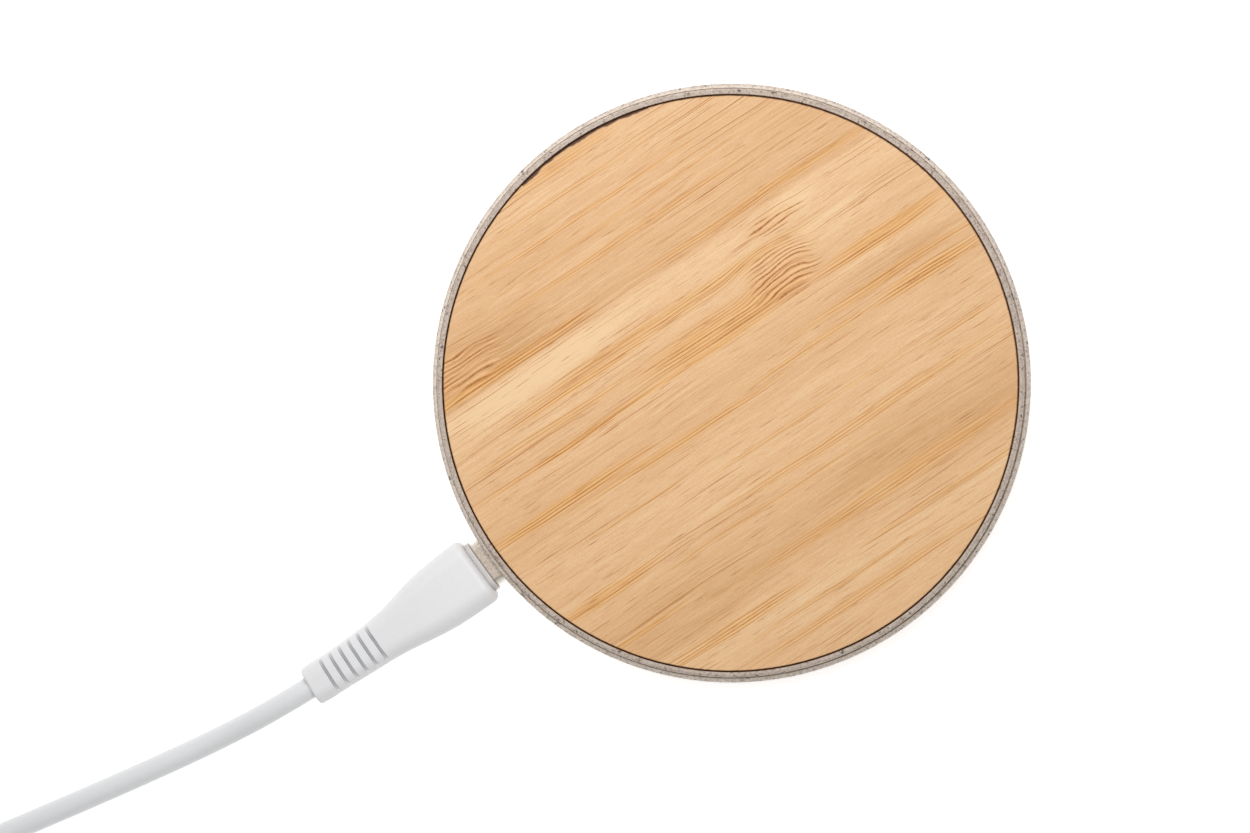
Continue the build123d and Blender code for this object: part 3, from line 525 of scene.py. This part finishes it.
# chopped straw: scale per mm, noise at which a fleck begins and is full, strength, colour
FLECKS = [
    (1.3, 0.60, 0.68, 0.65, srgb(112, 94, 86)), (2.6, 0.61, 0.68, 0.75, srgb(98, 80, 72)),
    (0.8, 0.67, 0.70, 0.85, srgb(66, 52, 52)), (2.2, 0.64, 0.72, 0.5, srgb(230, 218, 204)),
]
TOP_SHADE_BELOW_TOP = (0.5, 0.15)            # the painted shade on the ring's top begins and is full this far below the top
TOP_SHADE_AMOUNT = 0.32
TOP_SHADE_BROWN = srgb(120, 100, 86)
LIP_INSIDE = (0.05, 0.2)                    # the painted light on the lip begins and is full this far outside the upper ring
LIP_OUTSIDE = (0.45, 0.8)                   # it fades and ends here
LIP_BELOW_TOP = (2.8, 2.2)                  # it begins and is full this far below the ring's top
LIP_AMOUNT = 0.38
# painted light along the lip, against the seam's shade
LIP_PAINTED_LIGHT = srgb(250, 240, 228)
# painted shade in the recess round and under the bamboo
RECESS_SHADE_BROWN = srgb(138, 88, 54)


def painted_top_shade(s, surface, height):
    """Painted shade: the top of the ring is darker."""
    start, full = TOP_SHADE_BELOW_TOP
    amount = s.fit(height, RING_TOP - start, RING_TOP - full, 0.0, TOP_SHADE_AMOUNT)
    return s.mix(amount, surface, TOP_SHADE_BROWN)


def painted_lip_light(s, surface, radius, height):
    """Painted light: the lower half is paler along the seam."""
    start, full = LIP_INSIDE
    fade, end = LIP_OUTSIDE
    low, high = LIP_BELOW_TOP
    inner = s.fit(radius, RING_RADIUS + start, RING_RADIUS + full)
    outer = s.fit(radius, RING_RADIUS + fade, RING_RADIUS + end, LIP_AMOUNT, 0.0)
    near_seam = s.fit(height, RING_TOP - low, RING_TOP - high)
    return s.mix(s.times(s.times(inner, outer), near_seam), surface, LIP_PAINTED_LIGHT)


def painted_recess_shade(s, surface, radius, height):
    """Painted shade: the recess round and under the bamboo is dark."""
    inside = s.times(
        s.math("LESS_THAN", radius, RECESS_RADIUS), s.math("GREATER_THAN", height, RECESS_FLOOR),
    )
    return s.mix(inside, surface, RECESS_SHADE_BROWN)


def straw_composite():
    """Wheat-straw composite: beige-grey, mottled, with fine dark and pale flecks."""
    s = Shader("straw_composite", roughness=0.55)
    where = s.place()
    cloud = s.around(s.noise(where, *STRAW_CLOUDS), CLOUD_SPREAD)
    mottle = s.noise(where, *MOTTLE)
    tone = s.plus(s.plus(cloud, s.around(mottle, MOTTLE_SPREAD)), MIDDLE_TONE)
    surface = s.ramp(tone, STRAW_TONES)
    for scale, low, high, amount, colour in FLECKS:
        elsewhere = s.vector("ADD", where, [scale * step for step in FLECK_STEP])
        spot = s.noise(elsewhere, scale, FLECK_DETAIL, FLECK_ROUGHNESS)
        surface = s.mix(s.fit(spot, low, high, 0.0, amount), surface, colour)
    height = s.split(where)["Z"]
    radius = s.vector("LENGTH", s.flat(where))
    # painted shade on the ring's top
    surface = painted_top_shade(s, surface, height)
    # painted light along the lip
    surface = painted_lip_light(s, surface, radius, height)
    # painted shade in the recess
    s.colour(painted_recess_shade(s, surface, radius, height))
    pores = s.around(s.noise(where, *PORES), PORE_SPREAD)
    s.bump(s.plus(mottle, pores), STRAW_RELIEF, STRAW_RELIEF_STRENGTH)
    return s.material


# ---------------------------------------------------------------- cable and small parts
ELASTOMER_NOISE = (1.2, 3, 0.6)             # scale per mm, detail, roughness
ELASTOMER_DULLER = 2                        # display levels between its palest and darkest places
ELASTOMER_RELIEF = 0.006 * MM
CREASE_REACH = 1.2 * MM                     # what stands closer than this darkens the surface with painted shade
CREASE_RANGE = (0.35, 0.95)                 # openness at which the painted shade in creases is full, and at which it ends
CREASE_SAMPLES = 12
TIP_NOISE = (2.5, 3, 0.6)
TIP_MOTTLE = (0.35, 0.65)                   # noise at which the tip is dark, and at which it is pale
TIP_RELIEF = 0.004 * MM
TIP_DARK = srgb(172, 160, 148)
TIP_PALE = srgb(198, 184, 170)
# painted highlight on the rounded sides of the tip
TIP_SIDE_HIGHLIGHT = srgb(248, 242, 232)
SIDE_HIGHLIGHT_FROM_EDGE = (1.1, 0.5)             # the painted highlight on the sides begins and is full this far inside
TIP_HALF_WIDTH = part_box("plug_shell")[1][1] / MM
COLLAR_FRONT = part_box("plug_collar")[1][0] / MM
# painted shade where the tip goes into the collar
COLLAR_SHADE_REACH = 0.3                    # the tip is dark this far out of the collar
COLLAR_SHADE_AMOUNT = 0.75
COLLAR_SHADE = srgb(84, 72, 68)


def soft_white(name, colour, crease_shade):
    """Satin white elastomer, with painted shade, a little grey, where its grooves and corners close in."""
    s = Shader(name, roughness=0.42)
    uneven = s.noise(s.place(), *ELASTOMER_NOISE)
    duller = srgb(*(level - ELASTOMER_DULLER for level in colour))
    body = s.mix(s.fit(uneven, *NOISE_MIDDLE), duller, srgb(*colour))
    # painted shade: greyer where other surfaces stand close, as in grooves and corners
    nearby = s.node("ShaderNodeAmbientOcclusion", {"Distance": CREASE_REACH}, samples=CREASE_SAMPLES)
    openness = s.fit(nearby.outputs["AO"], *CREASE_RANGE)
    s.colour(s.mix(openness, srgb(*crease_shade), body))
    s.bump(uneven, ELASTOMER_RELIEF, FINE_RELIEF_STRENGTH)
    return s.material


def plug_tip():
    """The plug's plated shell: satin, with a painted highlight round its sides and painted shade where it
    enters the collar.
    """
    s = Shader("plug_tip", roughness=0.42, metallic=0.5)
    where = s.place()
    split = s.split(where)
    uneven = s.noise(where, *TIP_NOISE)
    surface = s.mix(s.fit(uneven, *TIP_MOTTLE), TIP_DARK, TIP_PALE)
    # painted highlight along both sides of the tip
    start, full = SIDE_HIGHLIGHT_FROM_EDGE
    off_middle = s.math("ABSOLUTE", split["Y"])
    side_highlight = s.fit(off_middle, TIP_HALF_WIDTH - start, TIP_HALF_WIDTH - full)
    surface = s.mix(side_highlight, surface, TIP_SIDE_HIGHLIGHT)
    # painted shade where the tip goes into the collar
    shade = s.fit(split["X"], COLLAR_FRONT, COLLAR_FRONT + COLLAR_SHADE_REACH, COLLAR_SHADE_AMOUNT, 0.0)
    s.colour(s.mix(shade, surface, COLLAR_SHADE))
    s.bump(uneven, TIP_RELIEF, FINE_RELIEF_STRENGTH)
    return s.material


def moulded(name, colour, roughness, mottle=0.03, grain=4.0, metallic=0.0, depth=0.006):
    """A moulded or plated surface: one colour, very slightly uneven, with a fine texture."""
    s = Shader(name, roughness, metallic)
    uneven = s.noise(s.place(), grain, detail=3, roughness=0.6)
    *channels, alpha = srgb(*colour)
    dark = (*(channel * (1 - mottle) for channel in channels), alpha)
    pale = (*(min(1.0, channel * (1 + mottle)) for channel in channels), alpha)
    s.colour(s.mix(s.fit(uneven, *NOISE_MIDDLE), dark, pale))
    s.bump(uneven, depth * MM, FINE_RELIEF_STRENGTH)
    return s.material


# how each plain slot looks, where it differs from what moulded() takes by itself
MOULDED_LOOKS = {
    "adhesive": dict(colour=(226, 222, 206), roughness=0.6),
    "foot_rubber": dict(colour=(38, 38, 38), roughness=0.75, mottle=0.15, grain=3.0),
    "screw_steel": dict(colour=(160, 160, 162), roughness=0.35, mottle=0.06, grain=2.0, metallic=1.0),
    "coil_wire": dict(colour=(196, 116, 66), roughness=0.35, mottle=0.10, grain=3.0, metallic=0.9),
    "lead_sleeve": dict(colour=(214, 196, 130), roughness=0.5),
    "ferrite": dict(colour=(58, 58, 60), roughness=0.6, mottle=0.12, grain=1.5),
    "sensor_epoxy": dict(colour=(32, 32, 34), roughness=0.3),
    "board": dict(colour=(26, 92, 52), roughness=0.4, mottle=0.08, grain=1.0),
    "chip_black": dict(colour=(36, 36, 40), roughness=0.55, mottle=0.08, grain=6.0),
    "capacitor_ceramic": dict(colour=(182, 160, 132), roughness=0.45, mottle=0.08, grain=3.0),
    "resistor_black": dict(colour=(44, 44, 48), roughness=0.4),
    "inductor_ferrite": dict(colour=(76, 76, 80), roughness=0.6, mottle=0.1, grain=3.0),
    "plated_steel": dict(
        colour=(180, 168, 156), roughness=0.42, mottle=0.05, grain=2.5, metallic=1.0, depth=0.004,
    ),
    "insulator_black": dict(colour=(28, 28, 28), roughness=0.5),
    "gold_contact": dict(colour=(232, 196, 112), roughness=0.25, mottle=0.04, metallic=1.0),
    "insulator_white": dict(colour=(236, 236, 236), roughness=0.35, mottle=0.02),
    "tie_black": dict(colour=(34, 34, 36), roughness=0.9, mottle=0.3, grain=6.0, depth=0.05),
}
MATERIALS = {slot: moulded(slot, **look) for slot, look in MOULDED_LOOKS.items()}
MATERIALS["bamboo"] = bamboo()
MATERIALS["straw_composite"] = straw_composite()
MATERIALS["white_elastomer"] = soft_white("white_elastomer", colour=(236, 236, 237), crease_shade=(206, 206, 209))
MATERIALS["cord_jacket"] = soft_white("cord_jacket", colour=(234, 235, 236), crease_shade=(190, 192, 195))
COLLAR_GREY = soft_white("collar_grey", colour=(214, 210, 208), crease_shade=(150, 144, 140))
PLUG_TIP = plug_tip()


def paint():
    """Gives each node the material of its slot, but the plug's collar and tip their own."""
    for part in frame["record"]["subparts"]:
        piece = nodes[part["node"]]
        piece.data.materials.clear()
        piece.data.materials.append(MATERIALS[part["material_slot"]])
    nodes["plug_collar"].data.materials[0] = COLLAR_GREY
    nodes["plug_shell"].data.materials[0] = PLUG_TIP
    cord.data.materials.append(MATERIALS["cord_jacket"])


# ---------------------------------------------------------------- floor and light
WHITE = (1, 1, 1, 1)
FLOOR_SIZE = 6
FLOOR_GREY = srgb(225, 225, 225)
FLOOR_GLOW = 0.62                           # keeps the floor as even and white as a studio sweep
SURROUND_STRENGTH = 0.38
LAMP_AZIMUTH = math.radians(72)
LAMP_OUT = 0.09
LAMP_HEIGHT = 0.28
LAMP_SIZE = 0.25
LAMP_WATTS = 0.62


def lay_floor():
    """A plain white floor."""
    bpy.ops.mesh.primitive_plane_add(size=FLOOR_SIZE)
    floor = bpy.context.object
    floor.name = "floor"
    s = Shader("floor", roughness=0.9)
    s.colour(FLOOR_GREY)
    s.surface.inputs["Emission Color"].default_value = WHITE
    s.surface.inputs["Emission Strength"].default_value = FLOOR_GLOW
    floor.data.materials.append(s.material)


def light_up():
    """An even white surround, and a soft light above the top edge of the view."""
    world = bpy.data.worlds.new("surround")
    bpy.context.scene.world = world
    world.use_nodes = True
    world.node_tree.nodes["Background"].inputs["Color"].default_value = WHITE
    world.node_tree.nodes["Background"].inputs["Strength"].default_value = SURROUND_STRENGTH
    lamp = bpy.data.lights.new("soft_light", "AREA")
    lamp.shape = "DISK"
    lamp.size = LAMP_SIZE
    lamp.energy = LAMP_WATTS
    light = bpy.data.objects.new("soft_light", lamp)
    bpy.context.scene.collection.objects.link(light)
    light.location = (LAMP_OUT * math.cos(LAMP_AZIMUTH), LAMP_OUT * math.sin(LAMP_AZIMUTH), LAMP_HEIGHT)
    light.rotation_euler = (-light.location).to_track_quat("-Z", "Y").to_euler()
    bpy.context.scene.view_settings.view_transform = "Standard"


paint()
lay_floor()
light_up()
bpy.context.view_layer.update()
